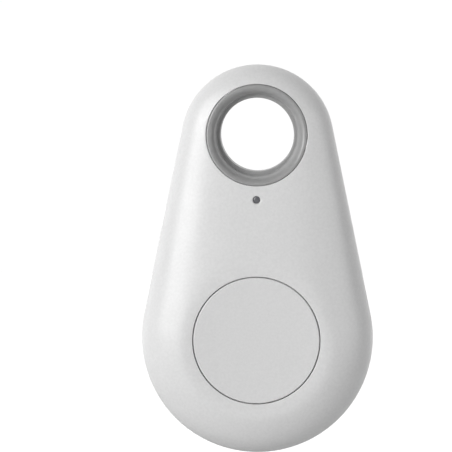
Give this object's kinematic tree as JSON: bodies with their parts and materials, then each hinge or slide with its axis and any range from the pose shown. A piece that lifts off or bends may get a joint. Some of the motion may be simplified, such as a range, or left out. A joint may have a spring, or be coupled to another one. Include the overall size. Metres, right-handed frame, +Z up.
{
  "type": "key tracker tag",
  "caption": "Pebble-shaped key tracker tag with a lined lanyard hole, a round press button, an indicator window and a lift-off rear cover over a coin cell.",
  "frame": {"origin": "centre of the lanyard hole, at the plane where the front and rear shells meet", "axes": "+Z up the tag towards the lanyard hole's end, -Y out of the front face with the button, +Y out of the rear, +X to the right as seen from the front"},
  "size_m": [0.031, 0.0109, 0.052],
  "materials": {
    "case_plastic": "injection moulded ABS, silver-white, fine satin grain",
    "button_plastic": "injection moulded ABS, silver-white, fine satin grain",
    "liner_plastic": "injection moulded ABS, light grey, satin",
    "smoked_lens": "smoked polycarbonate, polished",
    "board_laminate": "glass-epoxy laminate with green solder mask",
    "copper": "bare copper",
    "chip_epoxy": "moulded black epoxy",
    "nickel_steel": "nickel-plated steel",
    "led_resin": "clear resin over a white base",
    "ferrite": "sintered ferrite",
    "capacitor_ceramic": "sintered ceramic with tinned ends",
    "gold_plate": "gold-plated copper",
    "black_plastic": "moulded black nylon",
    "ivory_plastic": "moulded ivory nylon",
    "spring_brass": "rolled spring brass",
    "cell_paste": "pressed black powder",
    "separator_paper": "non-woven sheet",
    "cell_metal": "soft grey metal foil"
  },
  "bodies": {
    "case": {"front_shell": "case_plastic", "ring_liner_front": "liner_plastic", "light_pipe": "smoked_lens", "circuit_board": "board_laminate", "antenna_trace": "copper", "radio_chip": "chip_epoxy", "crystal": "nickel_steel", "indicator_led": "led_resin", "buzzer_driver": "chip_epoxy", "chip_inductor": "ferrite", "chip_capacitors": "capacitor_ceramic", "chip_resistors": "chip_epoxy", "test_pads": "gold_plate", "buzzer_housing": "black_plastic", "buzzer_lid": "black_plastic", "buzzer_diaphragm": "nickel_steel", "buzzer_yoke": "nickel_steel", "buzzer_coil": "copper", "buzzer_magnet": "ferrite", "switch_base": "ivory_plastic", "switch_dome": "nickel_steel", "switch_cover": "nickel_steel", "battery_holder": "black_plastic", "negative_contact": "spring_brass", "positive_contact": "spring_brass"},
    "button": {"button_cap": "button_plastic"},
    "switch_plunger": {"switch_plunger": "black_plastic"},
    "rear_cover": {"rear_shell": "case_plastic", "ring_liner_rear": "liner_plastic"},
    "battery": {"battery_can": "nickel_steel", "battery_gasket": "black_plastic", "battery_cathode": "cell_paste", "battery_separator": "separator_paper", "battery_anode": "cell_metal", "battery_cap": "nickel_steel"}
  },
  "joints": [
    {"name": "button_press", "type": "slide", "parent": "case", "child": "button", "axis": [0, 1, 0], "range_m": [0, 0.00025], "stiffness_N_per_m": 1500},
    {"name": "plunger_press", "type": "slide", "parent": "case", "child": "switch_plunger", "axis": [0, 1, 0], "range_m": [0, 0.00025]},
    {"name": "cover_lift", "type": "slide", "parent": "case", "child": "rear_cover", "axis": [0, 1, 0], "range_m": [0, 0.025]},
    {"name": "cell_drop", "type": "slide", "parent": "case", "child": "battery", "axis": [0, 1, 0], "range_m": [0, 0.0125]}
  ],
  "couplings": [
    {"joint": "plunger_press", "follows": "button_press", "ratio": 1},
    {"joint": "cell_drop", "follows": "cover_lift", "ratio": 0.5}
  ]
}
